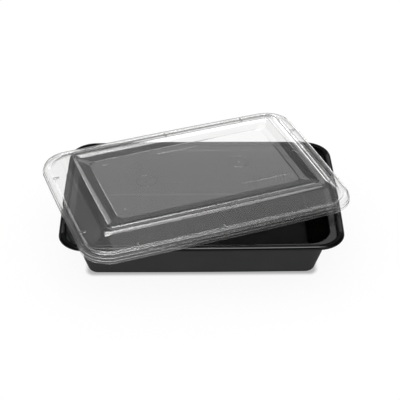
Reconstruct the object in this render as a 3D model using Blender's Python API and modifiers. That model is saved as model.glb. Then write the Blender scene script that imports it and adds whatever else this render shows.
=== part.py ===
"""A takeaway meal container: a black rectangular tray, and its clear lid lying turned on the rim.

Metres, +Z up. The origin is at the centre of the tray's underside, +X runs along the tray.
"""

import math

import bmesh
import bpy

MM = 0.001

# Tray, outside sizes
TRAY_LENGTH = 222.0 * MM
TRAY_WIDTH = 152.4 * MM
TRAY_HEIGHT = 41.0 * MM
TRAY_WALL = 0.7 * MM
RIM_CORNER = 22.0 * MM
RIM_ROLL = 2.1 * MM
RIM_ROLL_STEPS = 4
RIM_ROUND = 0.5 * MM
FLANGE_WIDTH = 4.7 * MM
FLANGE_DROP = 0.3 * MM
SEAT_DROP = 3.4 * MM
SEAT_WIDTH = 4.3 * MM
WALL_TOP_INSET = 10.5 * MM
WALL_DRAFT = math.radians(17.5)
WALL_TOP_CORNER = 17.8 * MM
WALL_FOOT_CORNER = 6.5 * MM
FLOOR_CORNER = 2.5 * MM
FLOOR_FILLET = 4.0 * MM
FLOOR_FILLET_STEPS = 3

# Lid, outside sizes above the lower edge of its skirt
LID_LENGTH = 224.5 * MM
LID_WIDTH = 154.9 * MM
LID_WALL = 0.45 * MM
LID_CORNER = 23.2 * MM
SKIRT_HEIGHT = 7.0 * MM
SKIRT_RIBS = 2
SKIRT_RIB_DEPTH = 0.6 * MM
CHANNEL_WIDTH = 5.0 * MM
VALLEY_INSET = 6.6 * MM
VALLEY_HEIGHT = 5.6 * MM
FLANK_TOP_INSET = 14.4 * MM
FLANK_TOP_HEIGHT = 11.7 * MM
SHOULDER_INSET = 21.5 * MM
SHOULDER_HEIGHT = 15.5 * MM
SHOULDER_STEPS = 4
RIDGE_INSET = 24.0 * MM
RIDGE_HEIGHT = 15.9 * MM
RIDGE_FOOT = 0.7 * MM
RIDGE_FOOT_HEIGHT = 15.55 * MM
BEND_INSET = 30.7 * MM
BEND_HEIGHT = 13.95 * MM
PANEL_EDGE_INSET = 35.4 * MM
PANEL_EDGE_HEIGHT = 13.3 * MM
PANEL_HEIGHT = 12.9 * MM
DOME_CORNER = 7.0 * MM
PANEL_CORNER = 5.0 * MM

# Where the lid lies on the tray
LID_GAP = 0.3 * MM
LID_SHIFT_X = -5.8 * MM
LID_SHIFT_Y = 9.9 * MM
LID_TURN = math.radians(20.1)

# Both outlines bow out a little between their corners
LONG_SIDE_BOW = 0.9 * MM
SHORT_SIDE_BOW = 0.5 * MM
INNER_BOW_SHARE = 0.5

# Facets of an outline
CORNER_STEPS = 9
LONG_SIDE_STEPS = 8
SHORT_SIDE_STEPS = 6

SMOOTH_UNDER = math.radians(35.0)


def clear_scene():
    for obj in list(bpy.data.objects):
        bpy.data.objects.remove(obj)


def make_collection(name):
    collection = bpy.data.collections.new(name)
    bpy.context.scene.collection.children.link(collection)
    return collection


def make_material(name, colour, roughness, transmission=0.0):
    material = bpy.data.materials.new(name)
    material.use_nodes = True
    shader = material.node_tree.nodes["Principled BSDF"]
    shader.inputs["Base Color"].default_value = (*colour, 1.0)
    shader.inputs["Roughness"].default_value = roughness
    shader.inputs["Metallic"].default_value = 0.0
    shader.inputs["IOR"].default_value = 1.49
    shader.inputs["Transmission Weight"].default_value = transmission
    return material


def outline(length, width, corner, bow, height):
    """The points of a rounded rectangle, anticlockwise, its sides bowed by a share of the full bow."""
    reach_x = length / 2 - corner
    reach_y = width / 2 - corner
    points = []
    for quarter in range(4):
        start = quarter * math.pi / 2
        sign_x = 1 if quarter in (0, 3) else -1
        sign_y = 1 if quarter in (0, 1) else -1
        for step in range(CORNER_STEPS + 1):
            angle = start + step / CORNER_STEPS * math.pi / 2
            x = sign_x * reach_x + corner * math.cos(angle)
            y = sign_y * reach_y + corner * math.sin(angle)
            points.append((x, y, height))
        along_x = quarter in (0, 2)
        steps = LONG_SIDE_STEPS if along_x else SHORT_SIDE_STEPS
        for step in range(1, steps):
            across = 1 - 2 * step / steps
            swell = 1 - across * across
            if along_x:
                side = sign_y * (width / 2 + bow * LONG_SIDE_BOW * swell)
                points.append((sign_x * across * reach_x, side, height))
            else:
                side = sign_x * (length / 2 + bow * SHORT_SIDE_BOW * swell)
                points.append((side, sign_y * across * reach_y, height))
    return points


def loft(name, rings):
    """An open surface from the outermost ring to the innermost, which a flat face closes."""
    shape = bmesh.new()
    loops = [[shape.verts.new(point) for point in ring] for ring in rings]
    for outer, inner in zip(loops, loops[1:]):
        for i in range(len(outer)):
            j = (i + 1) % len(outer)
            shape.faces.new((outer[i], outer[j], inner[j], inner[i]))
    shape.faces.new(loops[-1])
    mesh = bpy.data.meshes.new(name)
    shape.to_mesh(mesh)
    shape.free()
    mesh.shade_smooth()
    mesh.set_sharp_from_angle(angle=SMOOTH_UNDER)
    return mesh


def moulding(name, rings, wall, material, collection):
    """A moulded sheet: the lofted upper surface, given its wall thickness downwards."""
    obj = bpy.data.objects.new(name, loft(name, rings))
    obj.data.materials.append(material)
    solidify = obj.modifiers.new("wall", "SOLIDIFY")
    solidify.thickness = wall
    solidify.offset = -1.0
    solidify.use_even_offset = True
    collection.objects.link(obj)
    return obj


def tray_rings():
    """Rings of the tray's upper and inner surface, from the rim's lip in and down to the floor."""

    def ring(inset, height, corner, bow=1.0):
        return outline(TRAY_LENGTH - 2 * inset, TRAY_WIDTH - 2 * inset, corner, bow, height)

    top = TRAY_HEIGHT
    seat = top - SEAT_DROP
    seat_outer = FLANGE_WIDTH + 2 * RIM_ROUND
    flange_inner = top - FLANGE_DROP
    rings = []
    for step in range(RIM_ROLL_STEPS + 1):
        tilt = math.pi / 2 * (1 - step / RIM_ROLL_STEPS)
        inset = RIM_ROLL * (1 - math.sin(tilt))
        rings.append(ring(inset, top - RIM_ROLL * (1 - math.cos(tilt)), RIM_CORNER - inset))
    rings += [
        ring(FLANGE_WIDTH, flange_inner, RIM_CORNER - FLANGE_WIDTH),
        ring(FLANGE_WIDTH + RIM_ROUND, flange_inner - RIM_ROUND, RIM_CORNER - FLANGE_WIDTH - RIM_ROUND),
        ring(seat_outer, seat, RIM_CORNER - seat_outer),
        ring(seat_outer + SEAT_WIDTH, seat, WALL_TOP_CORNER),
        ring(WALL_TOP_INSET, seat - RIM_ROUND, WALL_TOP_CORNER),
    ]
    slope = math.tan(WALL_DRAFT)
    wall_top = seat - RIM_ROUND
    foot_inset = WALL_TOP_INSET + slope * (wall_top - TRAY_WALL)
    bend = math.pi / 2 - WALL_DRAFT
    reach = FLOOR_FILLET * math.tan(bend / 2)
    centre_inset = foot_inset + reach
    centre_height = TRAY_WALL + FLOOR_FILLET
    for step in range(FLOOR_FILLET_STEPS + 1):
        angle = bend * step / FLOOR_FILLET_STEPS
        turned = WALL_DRAFT + angle
        inset = centre_inset - FLOOR_FILLET * math.cos(turned)
        height = centre_height - FLOOR_FILLET * math.sin(turned)
        corner = max(WALL_FOOT_CORNER - (inset - foot_inset), FLOOR_CORNER)
        rings.append(ring(inset, height, corner, bow=INNER_BOW_SHARE))
    return rings


def lid_rings():
    """Rings of the lid's upper surface, from the skirt's lower edge up and in to the panel."""

    def ring(inset, height, corner, bow=1.0):
        return outline(LID_LENGTH - 2 * inset, LID_WIDTH - 2 * inset, corner, bow, height)

    rings = [ring(0, 0, LID_CORNER)]
    rib_height = (SKIRT_HEIGHT - RIM_ROUND) / (SKIRT_RIBS + 1)
    inset = 0.0
    for rib in range(1, SKIRT_RIBS + 1):
        rings.append(ring(inset, rib * rib_height, LID_CORNER - inset))
        inset += SKIRT_RIB_DEPTH
        rings.append(ring(inset, rib * rib_height + RIM_ROUND, LID_CORNER - inset))
    channel_outer = inset + 2 * RIM_ROUND
    rings += [
        ring(inset + RIM_ROUND / 2, SKIRT_HEIGHT - RIM_ROUND, LID_CORNER - inset),
        ring(channel_outer, SKIRT_HEIGHT, LID_CORNER - channel_outer),
        ring(CHANNEL_WIDTH, SKIRT_HEIGHT, LID_CORNER - CHANNEL_WIDTH),
        ring(VALLEY_INSET, VALLEY_HEIGHT, LID_CORNER - VALLEY_INSET),
        ring(FLANK_TOP_INSET, FLANK_TOP_HEIGHT, DOME_CORNER, bow=INNER_BOW_SHARE),
    ]
    rise = SHOULDER_HEIGHT - FLANK_TOP_HEIGHT
    run = SHOULDER_INSET - FLANK_TOP_INSET
    bend = 2 * math.atan2(rise, run)
    radius = run / math.sin(bend)
    for step in range(1, SHOULDER_STEPS + 1):
        tilt = bend * (1 - step / SHOULDER_STEPS)
        inset = SHOULDER_INSET - radius * math.sin(tilt)
        height = SHOULDER_HEIGHT - radius * (1 - math.cos(tilt))
        rings.append(ring(inset, height, DOME_CORNER, bow=INNER_BOW_SHARE))
    rings += [
        ring(RIDGE_INSET - RIDGE_FOOT, RIDGE_FOOT_HEIGHT, PANEL_CORNER, bow=INNER_BOW_SHARE),
        ring(RIDGE_INSET, RIDGE_HEIGHT, PANEL_CORNER, bow=INNER_BOW_SHARE),
        ring(RIDGE_INSET + RIDGE_FOOT, RIDGE_FOOT_HEIGHT, PANEL_CORNER, bow=INNER_BOW_SHARE),
        ring(BEND_INSET, BEND_HEIGHT, PANEL_CORNER, bow=INNER_BOW_SHARE),
        ring(PANEL_EDGE_INSET, PANEL_EDGE_HEIGHT, PANEL_CORNER, bow=INNER_BOW_SHARE),
        ring(PANEL_EDGE_INSET + RIM_ROUND, PANEL_HEIGHT, PANEL_CORNER, bow=INNER_BOW_SHARE),
    ]
    return rings


def make_tray(collection):
    black = make_material("black_polypropylene", (0.012, 0.012, 0.013), 0.38)
    return moulding("tray", tray_rings(), TRAY_WALL, black, collection)


def make_lid(collection):
    clear = make_material("clear_polypropylene", (0.93, 0.94, 0.95), 0.08, transmission=0.95)
    lid = moulding("lid", lid_rings(), LID_WALL, clear, collection)
    lid.location = (LID_SHIFT_X, LID_SHIFT_Y, TRAY_HEIGHT + LID_GAP)
    lid.rotation_euler = (0.0, 0.0, LID_TURN)
    return lid


def main():
    clear_scene()
    collection = make_collection("takeaway_meal_container")
    make_tray(collection)
    make_lid(collection)


main()
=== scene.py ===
"""Looks of the takeaway meal container: a black moulded tray, and its clear lid lying turned on the rim."""

import math

import bmesh
import bpy
from mathutils import Matrix, Vector


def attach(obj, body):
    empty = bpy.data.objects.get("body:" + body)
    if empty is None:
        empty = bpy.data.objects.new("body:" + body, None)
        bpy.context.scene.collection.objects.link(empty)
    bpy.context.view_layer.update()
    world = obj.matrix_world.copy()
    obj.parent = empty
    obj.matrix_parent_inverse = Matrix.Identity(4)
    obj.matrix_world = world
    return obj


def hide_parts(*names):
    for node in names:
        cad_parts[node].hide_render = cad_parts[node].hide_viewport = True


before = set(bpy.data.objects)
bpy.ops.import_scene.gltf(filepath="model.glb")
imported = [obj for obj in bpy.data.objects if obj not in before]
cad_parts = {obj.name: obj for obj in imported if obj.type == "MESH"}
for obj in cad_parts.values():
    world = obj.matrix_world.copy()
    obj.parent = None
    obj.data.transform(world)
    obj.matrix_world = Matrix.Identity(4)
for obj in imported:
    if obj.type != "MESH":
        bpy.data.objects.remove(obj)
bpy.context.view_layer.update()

MM = 0.001

# Tray, outside sizes
TRAY_LENGTH = 222.0 * MM
TRAY_WIDTH = 152.4 * MM
TRAY_HEIGHT = 41.0 * MM
TRAY_WALL = 0.7 * MM
RIM_CORNER = 22.0 * MM
RIM_ROLL = 2.1 * MM
RIM_ROUND = 0.5 * MM
FLANGE_WIDTH = 4.7 * MM
FLANGE_DROP = 0.3 * MM
SEAT_DROP = 3.4 * MM
WALL_TOP_INSET = 10.5 * MM
WALL_DRAFT = math.radians(17.5)
WALL_TOP_CORNER = 17.8 * MM
WALL_FOOT_CORNER = 6.5 * MM
FLOOR_CORNER = 2.5 * MM
FLOOR_FILLET = 4.0 * MM

# The bead in the tray's wall: the depths of its upper foot, its two crests and its lower foot
WALL_BEAD_DEPTHS = (9.2 * MM, 9.6 * MM, 11.0 * MM, 11.4 * MM)
WALL_BEAD = 0.2 * MM

# Lid, outside sizes above the lower edge of its skirt
LID_LENGTH = 224.5 * MM
LID_WIDTH = 154.9 * MM
LID_WALL = 0.45 * MM
LID_CORNER = 23.2 * MM
SKIRT_HEIGHT = 7.0 * MM
SKIRT_RIBS = 2
SKIRT_RIB_DEPTH = 0.6 * MM
CHANNEL_WIDTH = 5.0 * MM
VALLEY_INSET = 6.6 * MM
VALLEY_HEIGHT = 5.6 * MM
FLANK_TOP_INSET = 14.4 * MM
FLANK_TOP_HEIGHT = 11.7 * MM
SHOULDER_INSET = 21.5 * MM
SHOULDER_HEIGHT = 15.5 * MM
RIDGE_CREST = 24.4 * MM
RIDGE_HEIGHT = 15.9 * MM
RIDGE_RISE = 1.2 * MM
RIDGE_FALL = 0.6 * MM
RIDGE_FOOT_HEIGHT = 15.55 * MM
SLOPE_POINTS = ((26.7 * MM, 14.89 * MM), (28.7 * MM, 14.37 * MM))
BEND_INSET = 30.7 * MM
BEND_HEIGHT = 14.0 * MM
PANEL_EDGE_INSET = 35.4 * MM
PANEL_EDGE_HEIGHT = 13.3 * MM
PANEL_HEIGHT = 12.9 * MM
PANEL_MARGIN = 3 * RIM_ROUND
DOME_CORNER = 7.0 * MM
PANEL_CORNER = 5.0 * MM

# How far the softening of a bend reaches along the sheet, to both sides of it
FLANGE_SOFT = 0.6 * MM
SEAT_OUTER_SOFT = 0.5 * MM
SEAT_INNER_SOFT = 0.8 * MM
RIB_SOFT = 0.28 * MM
CHANNEL_OUTER_SOFT = 1.5 * MM
CHANNEL_INNER_SOFT = 0.9 * MM
VALLEY_SOFT = 1.15 * MM
FLANK_TOP_SOFT = 0.7 * MM
RIDGE_FOOT_SOFT = 0.12 * MM
RIDGE_CREST_SOFT = 0.15 * MM
SLOPE_SOFT = 0.8 * MM
BEND_SOFT = 0.5 * MM
PANEL_EDGE_SOFT = 0.15 * MM

# Tabs that bridge the lid's valley. A tab's middle is lifted over the valley by a share of its height
TAB_SIZE = (0.9 * MM, 5.0 * MM, 2.4 * MM)
TAB_BEVEL = 0.35 * TAB_SIZE[0]
TAB_LIFT = 0.4
TAB_INSET = 7.0 * MM
TAB_LONG_SIDE = (-70.5 * MM, 0.0, 70.5 * MM)
TAB_SHORT_SIDE = (-39.0 * MM, 39.0 * MM)

# Round marks on the lid's panel: a thin ring, sunk by a share of its wire, with a nub in its middle
RING_PLACES = ((-40.3 * MM, 0.8 * MM), (40.0 * MM, 0.8 * MM))
RING_RADIUS = 8.0 * MM
RING_WIRE = 0.2 * MM
RING_SINK = 0.35
NUB_RADIUS = 0.9 * MM
NUB_HEIGHT = 0.35 * MM
NUB_BEVEL = 0.6 * NUB_HEIGHT

# Bars on the lid's panel: each row's first place and its number of bars. Every third bar is a long one
BAR_WIDTH = 0.5 * MM
BAR_REACH = 2.4 * MM
BAR_HEIGHT = 0.36 * MM
BAR_STEP = 1.35 * MM
LONG_BAR_EVERY = 3
SHORT_BAR_SHARE = 0.8
BAR_ROWS = (
    (-18.5 * MM, 35.5 * MM, 28),
    (31.0 * MM, -30.0 * MM, 30),
    (-66.0 * MM, 35.0 * MM, 3),
    (-69.0 * MM, -30.5 * MM, 3),
)

# Where the lid lies on the tray
LID_GAP = 0.3 * MM
LID_SHIFT_X = -5.8 * MM
LID_SHIFT_Y = 9.9 * MM
LID_TURN = math.radians(20.1)

# Both outlines bow out a little between their corners, fully at the rim and by a share further in
LONG_SIDE_BOW = 0.9 * MM
SHORT_SIDE_BOW = 0.5 * MM
RIM_BOW_SHARE = 1.0
INNER_BOW_SHARE = 0.5

# Fineness of the meshes. The shoulder's arc leaves out the steps that the softened bend below it takes up
CORNER_SEGMENTS = 16
SIDE_CUTS = 15
SOFT_STEPS = 4
RIM_ROLL_STEPS = 8
FLOOR_FILLET_STEPS = 6
SHOULDER_STEPS = 12
SHOULDER_FIRST_STEP = 3
BEVEL_SEGMENTS = 2
RING_SEGMENTS = 64
NUB_SEGMENTS = 32
NUB_BEVEL_SEGMENTS = 3
TINY = 0.001 * MM

# Shading: what counts as smooth, as the edge of a raised mark and as facing up
SMOOTH_UNDER = math.radians(40)
MARK_ANGLE = math.radians(9)
NORMAL_WEIGHT = 60
FACING_UP = 0.5

# The parts of a ring, whose points are numbered part by part: its four corners, then its four sides
PART_STRIDE = 100
BACK_RIGHT, BACK_LEFT, FRONT_LEFT, FRONT_RIGHT = 0, 1, 2, 3
BACK_SIDE, RIGHT_SIDE, FRONT_SIDE, LEFT_SIDE = 4, 5, 6, 7

# Gloss of the tray's parts, from 0 to 1. The floor's matt finish starts a little way up its fillet
OUTSIDE_GLOSS = 0.2
ROLL_GLOSS = 0.7
FLANGE_GLOSS = 0.06
WALL_GLOSS = 0.75
FLOOR_GLOSS = 0.1
MATT_FILLET_SHARE = 0.2

# Shared effects: the mould's fine grain with a broad unevenness, and the scuffs of handling
NOISE_MIDDLE = 0.5
GRAIN_DETAIL = 3.0
UNEVEN_DETAIL = 1.0
UNEVEN_BAND = (0.3, 0.7)
SCUFF_STRETCH = (1.0, 14.0, 5.0)
SCUFF_DETAIL = 2.0
SCUFF_WIDTH = 0.006
SPARSE_SCALE = 25.0
SPARSE_DETAIL = 1.0
SPARSE_BAND = (0.56, 0.74)

# Black plastic of the tray. Its black is lighter outside, a painted sheen, and darker inside, a painted
# shade
OUTSIDE_BLACK_PAINTED_SHEEN = (0.032, 0.032, 0.0325)
INSIDE_BLACK_PAINTED_SHADE = (0.0016, 0.0016, 0.0018)
UNEVEN_BLACK = (0.006, 0.006, 0.0065)
SCUFFED_BLACK = (0.06, 0.06, 0.062)
BLACK_GRAIN_SCALE = 2200.0
BLACK_GRAIN_STRENGTH = 0.06
BLACK_GRAIN_DEPTH = 0.02 * MM
BLACK_UNEVEN_SCALE = 35.0
BLACK_UNEVEN_SHARE = 0.12
BLACK_SCUFF_SCALE = 70.0
BLACK_SCUFF_AMOUNT = 1.0
SCUFFS_ALL_OVER = 0.12
SCUFFS_AT_EDGES = 0.5
SCUFF_DULLING = 0.6
BLACK_ROUGHNESS = 0.42
BLACK_ROUGHNESS_SPREAD = 0.1
BLACK_IOR = 1.49
BLACK_SPECULAR = 0.02
COAT_ROUGHNESS = 0.09

# Clear plastic of the lid
CLEAR_TINT = (0.958, 0.957, 0.954)
UNEVEN_CLEAR_TINT = (0.968, 0.966, 0.962)
CLEAR_TRANSMISSION = 0.96
CLEAR_IOR = 1.5
CLEAR_WAVE_SCALE = 35.0
CLEAR_WAVE_STRENGTH = 0.03
CLEAR_WAVE_DEPTH = 0.05 * MM
CLEAR_UNEVEN_SCALE = 18.0
CLEAR_SCUFF_SCALE = 20.0
CLEAR_SCUFF_AMOUNT = 0.8
CLEAR_ROUGHNESS = 0.015
CLEAR_ROUGHNESS_SPREAD = 0.015
CLEAR_SCUFF_ROUGHNESS = 0.05

# Studio floor: pale and glowing, with a painted shadow where the tray stands on it
STUDIO_FLOOR_SIZE = 12.0
STUDIO_FLOOR_COLOUR = 0.12
STUDIO_FLOOR_ROUGHNESS = 0.9
STUDIO_FLOOR_GLOW = 0.9
FOOT_REACH = (85.0 * MM, 50.0 * MM, 0.0)
FOOT_CORNER = 4.0 * MM
SHADE_WIDTH = 5.0 * MM
SHADE_DEPTH = 0.55

# The floor as reflections see it: brighter as far back as the first place on Y, and dimmer from the second
MIRRORED_FRONT = -0.3
MIRRORED_BACK = -0.16
MIRRORED_FRONT_SHARE = 1.6
MIRRORED_BACK_SHARE = 0.2

# Studio light: an even fill for matt surfaces, and a dim room with soft lights for glossy ones
WHITE = (1, 1, 1, 1)
FILL_BRIGHTNESS = 0.9
ROOM_BRIGHTNESS = 0.12
LEAST_HEIGHT = 0.001

# Lights at the sides: azimuth to the right from straight behind, elevation, soft edge and radiance
SIDE_LIGHTS = (
    ((-7, 20), (31, 46), 3, 1.0),
    ((-10, 22), (47, 58), 4, 0.5),
    ((-14, 8), (14, 30), 4, 0.25),
    ((9, 17), (10, 29), 3, 1.3),
    ((15.5, 27), (-2, 14), 2, 3.2),
    ((-70, -38), (8, 32), 6, 0.25),
)

# Lights overhead: to the right, then backwards, for each unit of height, soft edge and radiance
TOP_LIGHTS = (
    ((-0.35, 0.16), (-0.12, 0.6), 0.16, 4.6),
    ((-0.4, 0.38), (-0.12, 0.6), 0.16, 3.2),
    ((0.3, 1.7), (-1.7, -0.15), 0.2, 0.65),
)

# Camera, where the photograph was taken from
CAMERA_PLACE = (-8.5 * MM, -791.8 * MM, 589.1 * MM)
CAMERA_PITCH = math.radians(35.09)
CAMERA_TURN = math.radians(0.56)
CAMERA_LENS = 106.47
CAMERA_SENSOR = 36.0


def deselect_all():
    for obj in list(bpy.context.selected_objects):
        obj.select_set(False)
    bpy.context.view_layer.objects.active = None


def focus(obj):
    deselect_all()
    obj.select_set(True)
    bpy.context.view_layer.objects.active = obj


def start_from(primitive, size):
    """A primitive at the origin, brought to its size and left in edit mode."""
    deselect_all()
    primitive(size=1, location=(0, 0, 0))
    bpy.ops.object.mode_set(mode="EDIT")
    bpy.ops.transform.resize(value=size, center_override=(0, 0, 0))
    return bpy.context.object


def select_top(data):
    """Selects only the faces that point up, in edit mode."""
    bpy.ops.mesh.select_all(action="DESELECT")
    mesh = bmesh.from_edit_mesh(data)
    for face in mesh.faces:
        face.select_set(face.normal.z > FACING_UP)
    bmesh.update_edit_mesh(data)


def apply_modifier(obj, kind, **values):
    focus(obj)
    modifier = obj.modifiers.new(kind.lower(), kind)
    for name, value in values.items():
        setattr(modifier, name, value)
    bpy.ops.object.modifier_apply(modifier=modifier.name)


def first_ring(length, width, corner, height):
    """A plane at its size with its corners rounded and its sides cut, left as a loop of edges."""
    data = bpy.context.object.data
    bpy.ops.mesh.select_all(action="SELECT")
    bpy.ops.transform.resize(value=(length, width, 1), center_override=(0, 0, 0))
    bpy.ops.transform.translate(value=(0, 0, height))
    bpy.ops.mesh.bevel(affect="VERTICES", offset=corner, segments=CORNER_SEGMENTS, profile=0.5)
    mesh = bmesh.from_edit_mesh(data)
    sides = sorted(mesh.edges, key=lambda edge: edge.calc_length())[-4:]
    bpy.ops.mesh.select_all(action="DESELECT")
    for edge in sides:
        edge.select_set(True)
    bmesh.update_edit_mesh(data)
    bpy.ops.mesh.subdivide(number_cuts=SIDE_CUTS)
    bpy.ops.mesh.select_all(action="SELECT")
    bpy.ops.mesh.delete(type="ONLY_FACE")
    bpy.ops.mesh.select_all(action="SELECT")
    mesh = bmesh.from_edit_mesh(data)
    columns = mesh.verts.layers.int.new("column")
    for vert in mesh.verts:
        vert[columns] = column_of(vert.co, length / 2 - corner, width / 2 - corner)
    bmesh.update_edit_mesh(data)


def column_of(point, reach_x, reach_y):
    """The number of a ring's point: its corner or side, and its step along that."""
    right, back = point.x > 0, point.y > 0
    if abs(point.x) >= reach_x - TINY and abs(point.y) >= reach_y - TINY:
        if right:
            part = BACK_RIGHT if back else FRONT_RIGHT
        else:
            part = BACK_LEFT if back else FRONT_LEFT
        angle = math.atan2(abs(point.y) - reach_y, abs(point.x) - reach_x)
        return part * PART_STRIDE + round(angle / (math.pi / 2) * CORNER_SEGMENTS)
    if abs(point.y) > reach_y:
        part, along = BACK_SIDE if back else FRONT_SIDE, point.x / reach_x
    else:
        part, along = RIGHT_SIDE if right else LEFT_SIDE, point.y / reach_y
    return part * PART_STRIDE + round((along + 1) / 2 * (SIDE_CUTS + 1))


def place_of(column, length, width, corner, bow):
    """Where a ring's point lies. The sides bow out between the corners, by a share of the full bow."""
    reach_x, reach_y = length / 2 - corner, width / 2 - corner
    part, step = divmod(column, PART_STRIDE)
    if part < BACK_SIDE:
        angle = step / CORNER_SEGMENTS * math.pi / 2
        x, y = reach_x + corner * math.cos(angle), reach_y + corner * math.sin(angle)
        return x if part in (BACK_RIGHT, FRONT_RIGHT) else -x, y if part in (BACK_RIGHT, BACK_LEFT) else -y
    along = 2 * step / (SIDE_CUTS + 1) - 1
    swell = bow * (1 - along**2)
    if part in (BACK_SIDE, FRONT_SIDE):
        y = width / 2 + swell * LONG_SIDE_BOW
        return along * reach_x, y if part == BACK_SIDE else -y
    x = length / 2 + swell * SHORT_SIDE_BOW
    return x if part == RIGHT_SIDE else -x, along * reach_y


def lay_ring(length, width, corner, height, bow):
    """Moves the selected ring to its place."""
    data = bpy.context.object.data
    mesh = bmesh.from_edit_mesh(data)
    columns = mesh.verts.layers.int["column"]
    for vert in mesh.verts:
        if vert.select:
            x, y = place_of(vert[columns], length, width, corner, bow)
            vert.co = (x, y, height)
    bmesh.update_edit_mesh(data)


def softened(profile):
    """The profile's steps as inset, height, corner and bow, with an arc for each step that is softened."""
    points = [Vector(step[:2]) for step in profile]
    steps = []
    for number, (inset, height, corner, bow, soft) in enumerate(profile):
        if not soft:
            steps.append((inset, height, corner, bow))
            continue
        before = (points[number - 1] - points[number]).normalized()
        after = (points[number + 1] - points[number]).normalized()
        pull = math.sin(before.angle(after) / 2)
        for part in range(SOFT_STEPS + 1):
            t = part / SOFT_STEPS
            weights = ((1 - t) ** 2, 2 * t * (1 - t) * pull, t**2)
            arc = (points[number] + before * soft) * weights[0]
            arc += points[number] * weights[1] + (points[number] + after * soft) * weights[2]
            arc /= sum(weights)
            steps.append((arc.x, arc.y, corner + inset - arc.x, bow))
    return steps


def sheet(name, length, width, profile):
    """A moulded sheet without its thickness. A step of the profile is inset, height, corner, bow, soft."""
    deselect_all()
    bpy.ops.mesh.primitive_plane_add(size=1, location=(0, 0, 0))
    obj = bpy.context.object
    obj.name = obj.data.name = name
    bpy.ops.object.mode_set(mode="EDIT")
    for number, (inset, height, corner, bow) in enumerate(softened(profile)):
        ring_length, ring_width = length - 2 * inset, width - 2 * inset
        if number == 0:
            first_ring(ring_length, ring_width, corner, height)
        else:
            bpy.ops.mesh.extrude_edges_move()
        lay_ring(ring_length, ring_width, corner, height, bow)
    bpy.ops.mesh.edge_face_add()
    bpy.ops.mesh.select_all(action="SELECT")
    bpy.ops.mesh.normals_make_consistent(inside=False)
    bpy.ops.object.mode_set(mode="OBJECT")
    widest = max(obj.data.polygons, key=lambda face: face.area)
    if widest.normal.z < 0:
        bpy.ops.object.mode_set(mode="EDIT")
        bpy.ops.mesh.flip_normals()
        bpy.ops.object.mode_set(mode="OBJECT")
    return obj


def give_wall(obj, thickness):
    """Thickens the sheet downwards, and marks with the attribute "upper" the side that was there before."""
    upper_count = len(obj.data.vertices)
    apply_modifier(obj, "SOLIDIFY", thickness=thickness, offset=-1.0, use_even_offset=True)
    upper = obj.data.attributes.new("upper", "FLOAT", "POINT")
    for vertex in obj.data.vertices:
        upper.data[vertex.index].value = 1.0 if vertex.index < upper_count else 0.0


def finish_shading(obj):
    focus(obj)
    bpy.ops.object.shade_smooth_by_angle(angle=SMOOTH_UNDER, keep_sharp_edges=True)
    apply_modifier(obj, "WEIGHTED_NORMAL", mode="FACE_AREA", weight=NORMAL_WEIGHT, keep_sharp=True)


def tray_profile():
    """The tray's upper and inner surface, from the rim's lip in and down to the floor."""
    seat = TRAY_HEIGHT - SEAT_DROP
    seat_outer = FLANGE_WIDTH + 2 * RIM_ROUND
    slope = math.tan(WALL_DRAFT)
    profile = []
    for step in range(RIM_ROLL_STEPS + 1):
        tilt = math.pi / 2 * (1 - step / RIM_ROLL_STEPS)
        inset = RIM_ROLL * (1 - math.sin(tilt))
        height = TRAY_HEIGHT - RIM_ROLL * (1 - math.cos(tilt))
        profile.append((inset, height, RIM_CORNER - inset, RIM_BOW_SHARE, 0))
    inset = FLANGE_WIDTH + RIM_ROUND
    profile += [
        (inset, TRAY_HEIGHT - FLANGE_DROP, RIM_CORNER - inset, RIM_BOW_SHARE, FLANGE_SOFT),
        (seat_outer, seat, RIM_CORNER - seat_outer, RIM_BOW_SHARE, SEAT_OUTER_SOFT),
        (WALL_TOP_INSET, seat, WALL_TOP_CORNER, RIM_BOW_SHARE, SEAT_INNER_SOFT),
    ]
    foot_inset = WALL_TOP_INSET + slope * (seat - TRAY_WALL)
    bend = math.pi / 2 - WALL_DRAFT
    centre_inset = foot_inset + FLOOR_FILLET * math.tan(bend / 2)
    fillet_top = centre_inset - FLOOR_FILLET * math.cos(WALL_DRAFT)
    for depth in WALL_BEAD_DEPTHS:
        inset = WALL_TOP_INSET + slope * (depth - SEAT_DROP)
        done = (inset - WALL_TOP_INSET) / (fillet_top - WALL_TOP_INSET)
        corner = WALL_TOP_CORNER + done * (WALL_FOOT_CORNER - WALL_TOP_CORNER)
        bow = RIM_BOW_SHARE + done * (INNER_BOW_SHARE - RIM_BOW_SHARE)
        profile.append((inset, TRAY_HEIGHT - depth, corner, bow, 0))
    for step in range(FLOOR_FILLET_STEPS + 1):
        turned = WALL_DRAFT + bend * step / FLOOR_FILLET_STEPS
        inset = centre_inset - FLOOR_FILLET * math.cos(turned)
        height = TRAY_WALL + FLOOR_FILLET * (1 - math.sin(turned))
        corner = max(WALL_FOOT_CORNER - (inset - foot_inset), FLOOR_CORNER)
        profile.append((inset, height, corner, INNER_BOW_SHARE, 0))
    return profile


def add_bead(tray):
    """Pushes two rings of the tray's wall inwards, which leaves a low bead round it."""
    crests = [TRAY_HEIGHT - depth for depth in WALL_BEAD_DEPTHS[1:3]]
    upper = tray.data.attributes["upper"].data
    for vertex in tray.data.vertices:
        if upper[vertex.index].value and min(abs(vertex.co.z - crest) for crest in crests) < TINY:
            vertex.co += vertex.normal * WALL_BEAD


def gloss_of(height, beyond, above):
    """The gloss at a height, at a distance beyond the rim's straight edges, above or below the sheet."""
    if not above:
        return OUTSIDE_GLOSS
    if height > TRAY_HEIGHT - FLANGE_DROP - RIM_ROUND:
        return ROLL_GLOSS if beyond > -RIM_ROLL - TINY else FLANGE_GLOSS
    return WALL_GLOSS if height > TRAY_WALL + MATT_FILLET_SHARE * FLOOR_FILLET else FLOOR_GLOSS


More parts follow.
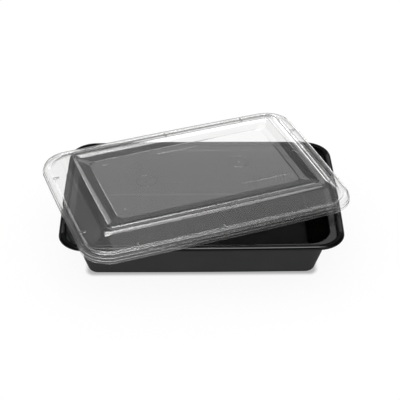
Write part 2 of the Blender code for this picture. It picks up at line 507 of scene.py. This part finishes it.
def mark_finish(tray):
    """Attributes for the material: how glossy each part is, and which edges are handled."""
    mesh = tray.data
    for name in ("gloss", "edge"):
        mesh.attributes.new(name, "FLOAT", "POINT")
    upper, gloss, edge = (mesh.attributes[name].data for name in ("upper", "gloss", "edge"))
    for vertex in mesh.vertices:
        height = vertex.co.z
        above = upper[vertex.index].value > 0.5
        beyond = max(abs(vertex.co.x) - TRAY_LENGTH / 2, abs(vertex.co.y) - TRAY_WIDTH / 2)
        on_rim = height > TRAY_HEIGHT - RIM_ROLL and beyond > -FLANGE_WIDTH
        on_foot = height < 2 * TRAY_WALL and not above
        gloss[vertex.index].value = gloss_of(height, beyond, above)
        edge[vertex.index].value = 1.0 if on_rim or on_foot else 0.0


def make_tray():
    tray = sheet("tray_body", TRAY_LENGTH, TRAY_WIDTH, tray_profile())
    give_wall(tray, TRAY_WALL)
    add_bead(tray)
    mark_finish(tray)
    finish_shading(tray)
    return tray


def lid_profile():
    """The lid's upper surface, from the skirt's lower edge up and in to the panel."""
    profile = [(0, 0, LID_CORNER, RIM_BOW_SHARE, 0)]
    rib_height = (SKIRT_HEIGHT - RIM_ROUND) / (SKIRT_RIBS + 1)
    inset = 0.0
    for rib in range(1, SKIRT_RIBS + 1):
        foot = rib * rib_height
        profile.append((inset, foot + RIM_ROUND / 2, LID_CORNER - inset, RIM_BOW_SHARE, RIB_SOFT))
        inset += SKIRT_RIB_DEPTH
        profile.append((inset, foot + RIM_ROUND, LID_CORNER - inset, RIM_BOW_SHARE, RIB_SOFT))
    inset += RIM_ROUND
    profile += [
        (inset, SKIRT_HEIGHT, LID_CORNER - inset, RIM_BOW_SHARE, CHANNEL_OUTER_SOFT),
        (CHANNEL_WIDTH, SKIRT_HEIGHT, LID_CORNER - CHANNEL_WIDTH, RIM_BOW_SHARE, CHANNEL_INNER_SOFT),
        (VALLEY_INSET, VALLEY_HEIGHT, LID_CORNER - VALLEY_INSET, RIM_BOW_SHARE, VALLEY_SOFT),
        (FLANK_TOP_INSET, FLANK_TOP_HEIGHT, DOME_CORNER, INNER_BOW_SHARE, FLANK_TOP_SOFT),
    ]
    rise = SHOULDER_HEIGHT - FLANK_TOP_HEIGHT
    run = SHOULDER_INSET - FLANK_TOP_INSET
    bend = 2 * math.atan2(rise, run)
    radius = run / math.sin(bend)
    for step in range(SHOULDER_FIRST_STEP, SHOULDER_STEPS + 1):
        tilt = bend * (1 - step / SHOULDER_STEPS)
        inset = SHOULDER_INSET - radius * math.sin(tilt)
        height = SHOULDER_HEIGHT - radius * (1 - math.cos(tilt))
        profile.append((inset, height, DOME_CORNER, INNER_BOW_SHARE, 0))
    panel = PANEL_EDGE_INSET + RIM_ROUND
    inner = [
        (RIDGE_CREST - RIDGE_RISE, RIDGE_FOOT_HEIGHT, RIDGE_FOOT_SOFT),
        (RIDGE_CREST, RIDGE_HEIGHT, RIDGE_CREST_SOFT),
        (RIDGE_CREST + RIDGE_FALL, RIDGE_FOOT_HEIGHT, RIDGE_FOOT_SOFT),
        *((inset, height, SLOPE_SOFT) for inset, height in SLOPE_POINTS),
        (BEND_INSET, BEND_HEIGHT, BEND_SOFT),
        (PANEL_EDGE_INSET, PANEL_EDGE_HEIGHT, PANEL_EDGE_SOFT),
        (panel, PANEL_HEIGHT, PANEL_EDGE_SOFT),
    ]
    profile += [(inset, height, PANEL_CORNER, INNER_BOW_SHARE, soft) for inset, height, soft in inner]
    profile.append((panel + PANEL_MARGIN, PANEL_HEIGHT, PANEL_CORNER - PANEL_MARGIN, INNER_BOW_SHARE, 0))
    return profile


def spread(pairs):
    """Copies of small pieces, each with its own mesh, from pairs of a piece and its place. The pieces go."""
    copies = []
    for piece, place in pairs:
        copy = piece.copy()
        copy.data = piece.data.copy()
        copy.data.transform(place)
        bpy.context.collection.objects.link(copy)
        copies.append(copy)
    for piece in {piece for piece, place in pairs}:
        bpy.data.objects.remove(piece)
    return copies


def tab():
    """A small bar along Y with rounded top edges."""
    obj = start_from(bpy.ops.mesh.primitive_cube_add, TAB_SIZE)
    select_top(obj.data)
    bpy.ops.mesh.bevel(offset=TAB_BEVEL, segments=BEVEL_SEGMENTS, affect="EDGES")
    bpy.ops.object.mode_set(mode="OBJECT")
    return obj


def tabs():
    """The tabs that bridge the valley between the lid's channel and its flank."""
    height = VALLEY_HEIGHT + TAB_LIFT * TAB_SIZE[2]
    long_side = (0.0, LID_WIDTH / 2 - TAB_INSET, TAB_LONG_SIDE)
    short_side = (-math.pi / 2, LID_LENGTH / 2 - TAB_INSET, TAB_SHORT_SIDE)
    piece = tab()
    pairs = []
    for opposite in (0.0, math.pi):
        for turn, away, row in (long_side, short_side):
            turned = Matrix.Rotation(opposite + turn, 4, "Z")
            pairs += [(piece, turned @ Matrix.Translation((along, away, height))) for along in row]
    return spread(pairs)


def bar(reach):
    """A raised bar that slopes down from the middle of its length to both ends."""
    obj = start_from(bpy.ops.mesh.primitive_cube_add, (BAR_WIDTH, 2 * reach, 2 * BAR_HEIGHT))
    select_top(obj.data)
    bpy.ops.transform.resize(value=(1, 0, 1), center_override=(0, 0, 0))
    bpy.ops.mesh.remove_doubles(threshold=TINY)
    bpy.ops.object.mode_set(mode="OBJECT")
    return obj


def bars():
    """Rows of plain raised bars near the panel's edges."""
    long_bar, short_bar = bar(BAR_REACH), bar(SHORT_BAR_SHARE * BAR_REACH)
    pairs = []
    for start, y, count in BAR_ROWS:
        for number in range(count):
            piece = short_bar if number % LONG_BAR_EVERY else long_bar
            pairs.append((piece, Matrix.Translation((start + number * BAR_STEP, y, PANEL_HEIGHT))))
    return spread(pairs)


def mark_ring():
    deselect_all()
    bpy.ops.mesh.primitive_torus_add(
        major_radius=RING_RADIUS, minor_radius=RING_WIRE, major_segments=RING_SEGMENTS, location=(0, 0, 0)
    )
    return bpy.context.object


def mark_nub():
    """A low round stud with a rounded upper edge."""
    deselect_all()
    bpy.ops.mesh.primitive_cylinder_add(
        vertices=NUB_SEGMENTS, radius=NUB_RADIUS, depth=2 * NUB_HEIGHT, location=(0, 0, 0)
    )
    obj = bpy.context.object
    bpy.ops.object.mode_set(mode="EDIT")
    select_top(obj.data)
    bpy.ops.mesh.bevel(offset=NUB_BEVEL, segments=NUB_BEVEL_SEGMENTS, affect="EDGES")
    bpy.ops.object.mode_set(mode="OBJECT")
    return obj


def round_marks():
    """The rings on the panel, with a nub in the middle of each."""
    ring, nub = mark_ring(), mark_nub()
    pairs = []
    for x, y in RING_PLACES:
        pairs.append((ring, Matrix.Translation((x, y, PANEL_HEIGHT - RING_SINK * RING_WIRE))))
        pairs.append((nub, Matrix.Translation((x, y, PANEL_HEIGHT))))
    return spread(pairs)


def fuse(obj, extras):
    """Joins the extra pieces, which don't touch each other, to the object as one solid."""
    focus(extras[0])
    for extra in extras:
        extra.select_set(True)
    bpy.ops.object.join()
    apply_modifier(obj, "BOOLEAN", operation="UNION", object=extras[0], solver="EXACT")
    bpy.data.objects.remove(extras[0])


def sharpen_marks(lid):
    """Marks as sharp the edges of the small forms that stand on the lid's flat panel."""
    reach_x = LID_LENGTH / 2 - PANEL_EDGE_INSET - 2 * RIM_ROUND
    reach_y = LID_WIDTH / 2 - PANEL_EDGE_INSET - 2 * RIM_ROUND
    shape = bmesh.new()
    shape.from_mesh(lid.data)
    for edge in shape.edges:
        middle = (edge.verts[0].co + edge.verts[1].co) / 2
        on_panel = abs(middle.x) < reach_x and abs(middle.y) < reach_y
        if on_panel and edge.calc_face_angle(0.0) > MARK_ANGLE:
            edge.smooth = False
    shape.to_mesh(lid.data)
    shape.free()


def make_lid():
    lid = sheet("lid_sheet", LID_LENGTH, LID_WIDTH, lid_profile())
    give_wall(lid, LID_WALL)
    fuse(lid, tabs() + bars() + round_marks())
    sharpen_marks(lid)
    place = Matrix.Translation((LID_SHIFT_X, LID_SHIFT_Y, TRAY_HEIGHT + LID_GAP))
    lid.data.transform(place @ Matrix.Rotation(LID_TURN, 4, "Z"))
    finish_shading(lid)
    return lid


def new_material(name):
    material = bpy.data.materials.new(name)
    material.use_nodes = True
    material.node_tree.nodes.clear()
    return material, material.node_tree


def feed(tree, value, socket):
    """Gives a socket a value or a link, whichever it is."""
    if isinstance(value, bpy.types.NodeSocket):
        tree.links.new(value, socket)
    else:
        socket.default_value = value


def node(tree, kind, **inputs):
    """A new node. Each input is a value or a link, under its socket's name with underscores for spaces."""
    made = tree.nodes.new(kind)
    for name, value in inputs.items():
        feed(tree, value, made.inputs[name.replace("_", " ")])
    return made


def object_place(tree):
    return node(tree, "ShaderNodeTexCoord").outputs["Object"]


def attribute(tree, name):
    made = node(tree, "ShaderNodeAttribute")
    made.attribute_name = name
    return made.outputs["Fac"]


def math_node(tree, operation, *values):
    made = node(tree, "ShaderNodeMath")
    made.operation = operation
    for value, socket in zip(values, made.inputs):
        feed(tree, value, socket)
    return made.outputs["Value"]


def plus(tree, first, second):
    return math_node(tree, "ADD", first, second)


def times(tree, first, second):
    return math_node(tree, "MULTIPLY", first, second)


def vector_math(tree, operation, *values, output="Vector"):
    made = node(tree, "ShaderNodeVectorMath")
    made.operation = operation
    for value, socket in zip(values, made.inputs):
        feed(tree, value, socket)
    return made.outputs[output]


def ramp(tree, value, edges, first, last):
    """Goes softly from the first number to the last, as the value passes from one edge to the other."""
    low, high = edges
    made = node(
        tree, "ShaderNodeMapRange", Value=value, From_Min=low, From_Max=high, To_Min=first, To_Max=last
    )
    made.interpolation_type = "SMOOTHSTEP"
    return made.outputs["Result"]


def blend(tree, share, first, second):
    """Mixes two colours, each a link or a tuple without alpha."""
    made = node(tree, "ShaderNodeMix")
    made.data_type = "RGBA"
    feed(tree, share, made.inputs[0])
    for colour, socket in zip((first, second), made.inputs[6:8]):
        feed(tree, (*colour, 1) if isinstance(colour, tuple) else colour, socket)
    return made.outputs[2]


def noise(tree, vector, scale, detail):
    return node(tree, "ShaderNodeTexNoise", Vector=vector, Scale=scale, Detail=detail).outputs[0]


def relief(tree, height, strength, depth):
    made = node(tree, "ShaderNodeBump", Height=height, Strength=strength, Distance=depth)
    return made.outputs["Normal"]


def mix_shaders(tree, share, first, second):
    made = node(tree, "ShaderNodeMixShader")
    for value, socket in zip((share, first, second), made.inputs):
        feed(tree, value, socket)
    return made.outputs["Shader"]


def new_group(name, numbers, outputs):
    """A shader node group with a vector and the named numbers as inputs."""
    tree = bpy.data.node_groups.new(name, "ShaderNodeTree")
    tree.interface.new_socket("Vector", in_out="INPUT", socket_type="NodeSocketVector")
    for number in numbers:
        tree.interface.new_socket(number, in_out="INPUT", socket_type="NodeSocketFloat")
    for output in outputs:
        tree.interface.new_socket(output, in_out="OUTPUT", socket_type="NodeSocketFloat")
    return tree, tree.nodes.new("NodeGroupInput").outputs, tree.nodes.new("NodeGroupOutput").inputs


def use_group(tree, group, **inputs):
    made = tree.nodes.new("ShaderNodeGroup")
    made.node_tree = group
    for name, value in inputs.items():
        feed(tree, value, made.inputs[name])
    return made.outputs


def grain_group():
    """Fine relief from the mould, and a broad unevenness."""
    tree, inputs, outputs = new_group("moulded_grain", ("Scale", "Breadth"), ("Relief", "Unevenness"))
    fine = noise(tree, inputs["Vector"], inputs["Scale"], GRAIN_DETAIL)
    broad = noise(tree, inputs["Vector"], inputs["Breadth"], UNEVEN_DETAIL)
    feed(tree, fine, outputs["Relief"])
    feed(tree, ramp(tree, broad, UNEVEN_BAND, 0.0, 1.0), outputs["Unevenness"])
    return tree


def scratch_group():
    """Thin short scuffs that run mostly one way, thinned out by a broad noise."""
    tree, inputs, outputs = new_group("handling_scratches", ("Scale", "Amount"), ("Mask",))
    stretched = vector_math(tree, "MULTIPLY", inputs["Vector"], SCUFF_STRETCH)
    fine = noise(tree, stretched, inputs["Scale"], SCUFF_DETAIL)
    from_line = math_node(tree, "ABSOLUTE", math_node(tree, "SUBTRACT", fine, NOISE_MIDDLE))
    thin = ramp(tree, from_line, (0.0, SCUFF_WIDTH), 1.0, 0.0)
    broad = noise(tree, inputs["Vector"], SPARSE_SCALE, SPARSE_DETAIL)
    sparse = ramp(tree, broad, SPARSE_BAND, 0.0, 1.0)
    feed(tree, times(tree, times(tree, thin, sparse), inputs["Amount"]), outputs["Mask"])
    return tree


def black_plastic(grain, scratches):
    """Satin outside, glossy on the rim's roll and the inner walls, and finely matt on the floor inside. Its
    colour is lighter outside, a painted sheen, and darker inside, a painted shade.
    """
    material, tree = new_material("black_polypropylene")
    place = object_place(tree)
    mould = use_group(tree, grain, Vector=place, Scale=BLACK_GRAIN_SCALE, Breadth=BLACK_UNEVEN_SCALE)
    marks = use_group(tree, scratches, Vector=place, Scale=BLACK_SCUFF_SCALE, Amount=BLACK_SCUFF_AMOUNT)
    upper, gloss, edge = (attribute(tree, name) for name in ("upper", "gloss", "edge"))
    handled = plus(tree, times(tree, edge, SCUFFS_AT_EDGES), SCUFFS_ALL_OVER)
    scuffed = times(tree, marks["Mask"], handled)
    # The tray's black is lighter outside, a painted sheen, and darker inside, a painted shade
    painted_sheen_and_shade = blend(tree, upper, OUTSIDE_BLACK_PAINTED_SHEEN, INSIDE_BLACK_PAINTED_SHADE)
    uneven = blend(tree, times(tree, mould["Unevenness"], BLACK_UNEVEN_SHARE), painted_sheen_and_shade, UNEVEN_BLACK)
    worn = math_node(tree, "SUBTRACT", 1.0, times(tree, scuffed, SCUFF_DULLING))
    shader = node(
        tree,
        "ShaderNodeBsdfPrincipled",
        Base_Color=blend(tree, scuffed, uneven, SCUFFED_BLACK),
        Roughness=plus(tree, times(tree, mould["Unevenness"], BLACK_ROUGHNESS_SPREAD), BLACK_ROUGHNESS),
        Metallic=0.0,
        IOR=BLACK_IOR,
        Specular_IOR_Level=BLACK_SPECULAR,
        Coat_Weight=times(tree, gloss, worn),
        Coat_Roughness=COAT_ROUGHNESS,
        Coat_IOR=BLACK_IOR,
        Normal=relief(tree, mould["Relief"], BLACK_GRAIN_STRENGTH, BLACK_GRAIN_DEPTH),
    )
    node(tree, "ShaderNodeOutputMaterial", Surface=shader.outputs["BSDF"])
    return material


def clear_plastic(grain, scratches):
    """Clear and glossy, a little uneven, with faint scuffs. It throws no shadow."""
    material, tree = new_material("clear_polypropylene")
    place = object_place(tree)
    mould = use_group(tree, grain, Vector=place, Scale=CLEAR_WAVE_SCALE, Breadth=CLEAR_UNEVEN_SCALE)
    marks = use_group(tree, scratches, Vector=place, Scale=CLEAR_SCUFF_SCALE, Amount=CLEAR_SCUFF_AMOUNT)
    haze = plus(tree, times(tree, mould["Unevenness"], CLEAR_ROUGHNESS_SPREAD), CLEAR_ROUGHNESS)
    shader = node(
        tree,
        "ShaderNodeBsdfPrincipled",
        Base_Color=blend(tree, mould["Unevenness"], CLEAR_TINT, UNEVEN_CLEAR_TINT),
        Roughness=plus(tree, times(tree, marks["Mask"], CLEAR_SCUFF_ROUGHNESS), haze),
        Metallic=0.0,
        IOR=CLEAR_IOR,
        Transmission_Weight=CLEAR_TRANSMISSION,
        Normal=relief(tree, mould["Relief"], CLEAR_WAVE_STRENGTH, CLEAR_WAVE_DEPTH),
    )
    in_shadow = node(tree, "ShaderNodeLightPath").outputs["Is Shadow Ray"]
    through = node(tree, "ShaderNodeBsdfTransparent").outputs["BSDF"]
    surface = mix_shaders(tree, in_shadow, shader.outputs["BSDF"], through)
    node(tree, "ShaderNodeOutputMaterial", Surface=surface)
    return material


def floor_white():
    """White that glows by itself, with a painted shadow under the tray's foot, and unevenly in reflections.
    """
    material, tree = new_material("studio_white")
    place = object_place(tree)
    beyond = vector_math(tree, "SUBTRACT", vector_math(tree, "ABSOLUTE", place), FOOT_REACH)
    away = vector_math(tree, "LENGTH", vector_math(tree, "MAXIMUM", beyond, (0, 0, 0)), output="Value")
    # The glow dims near the tray's foot: a painted shadow
    shade = (FOOT_CORNER, FOOT_CORNER + SHADE_WIDTH)
    glow = ramp(tree, away, shade, STUDIO_FLOOR_GLOW * (1 - SHADE_DEPTH), STUDIO_FLOOR_GLOW)
    path = node(tree, "ShaderNodeLightPath").outputs
    odd_bounce = math_node(tree, "MODULO", path["Ray Depth"], 2.0)
    mirrored = times(tree, odd_bounce, path["Is Glossy Ray"])
    back = node(tree, "ShaderNodeSeparateXYZ", Vector=place).outputs["Y"]
    edges = (MIRRORED_FRONT, MIRRORED_BACK)
    change = ramp(tree, back, edges, MIRRORED_FRONT_SHARE - 1, MIRRORED_BACK_SHARE - 1)
    share = plus(tree, times(tree, mirrored, change), 1.0)
    shader = node(
        tree,
        "ShaderNodeBsdfPrincipled",
        Base_Color=(STUDIO_FLOOR_COLOUR, STUDIO_FLOOR_COLOUR, STUDIO_FLOOR_COLOUR, 1),
        Roughness=STUDIO_FLOOR_ROUGHNESS,
        Specular_IOR_Level=0.0,
        Emission_Color=WHITE,
        Emission_Strength=times(tree, glow, share),
    )
    node(tree, "ShaderNodeOutputMaterial", Surface=shader.outputs["BSDF"])
    return material


def make_floor():
    floor = start_from(bpy.ops.mesh.primitive_plane_add, (STUDIO_FLOOR_SIZE, STUDIO_FLOOR_SIZE, 1))
    bpy.ops.object.mode_set(mode="OBJECT")
    floor.name = floor.data.name = "studio_floor"
    floor.data.materials.append(floor_white())


def window(tree, value, edges, soft, inner=1.0):
    """The inner number between the two edges, and softly 0 outside them."""
    low, high = edges
    rise = ramp(tree, value, (low - soft / 2, low + soft / 2), 0.0, inner)
    fall = ramp(tree, value, (high - soft / 2, high + soft / 2), 1.0, 0.0)
    return times(tree, rise, fall)


def mirrored_room(tree):
    """The brightness that a mirror sees in each direction: a dim room with the soft lights in it."""
    direction = node(tree, "ShaderNodeTexCoord").outputs["Generated"]
    right, back, up = node(tree, "ShaderNodeSeparateXYZ", Vector=direction).outputs
    azimuth = math_node(tree, "DEGREES", math_node(tree, "ARCTAN2", right, back))
    elevation = math_node(tree, "DEGREES", math_node(tree, "ARCSINE", up))
    height = math_node(tree, "MAXIMUM", up, LEAST_HEIGHT)
    over_right = math_node(tree, "DIVIDE", right, height)
    over_back = math_node(tree, "DIVIDE", back, height)
    total = 0.0
    for lights, across, along in ((SIDE_LIGHTS, azimuth, elevation), (TOP_LIGHTS, over_right, over_back)):
        for across_edges, along_edges, soft, radiance in lights:
            shape = window(tree, across, across_edges, soft, radiance)
            light = times(tree, shape, window(tree, along, along_edges, soft))
            total = plus(tree, total, light)
    return plus(tree, total, ROOM_BRIGHTNESS)


def make_studio():
    """Even fill light for matt surfaces, while reflections see the room."""
    world = bpy.data.worlds.new("studio")
    bpy.context.scene.world = world
    world.use_nodes = True
    world.cycles.sampling_method = "NONE"
    tree = world.node_tree
    tree.nodes.clear()
    room = node(tree, "ShaderNodeBackground", Color=WHITE, Strength=mirrored_room(tree))
    fill = node(tree, "ShaderNodeBackground", Color=WHITE, Strength=FILL_BRIGHTNESS)
    path = node(tree, "ShaderNodeLightPath").outputs
    after_matt = math_node(tree, "MINIMUM", path["Diffuse Depth"], 1.0)
    mirror = times(tree, path["Is Glossy Ray"], math_node(tree, "SUBTRACT", 1.0, after_matt))
    surface = mix_shaders(tree, mirror, fill.outputs["Background"], room.outputs["Background"])
    node(tree, "ShaderNodeOutputWorld", Surface=surface)


def make_camera():
    data = bpy.data.cameras.new("photo_camera")
    data.lens = CAMERA_LENS
    data.sensor_width = CAMERA_SENSOR
    camera = bpy.data.objects.new("photo_camera", data)
    camera.location = CAMERA_PLACE
    camera.rotation_euler = (math.pi / 2 - CAMERA_PITCH, 0.0, -CAMERA_TURN)
    bpy.context.scene.collection.objects.link(camera)
    bpy.context.scene.camera = camera


def finish_piece(obj, node_name, material):
    obj.data.materials.clear()
    obj.data.materials.append(material)
    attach(obj, "root")
    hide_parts(node_name)


GRAIN, SCRATCHES = grain_group(), scratch_group()
finish_piece(make_tray(), "tray", black_plastic(GRAIN, SCRATCHES))
finish_piece(make_lid(), "lid", clear_plastic(GRAIN, SCRATCHES))
make_floor()
make_studio()
make_camera()
bpy.context.scene.view_settings.view_transform = "Standard"
deselect_all()
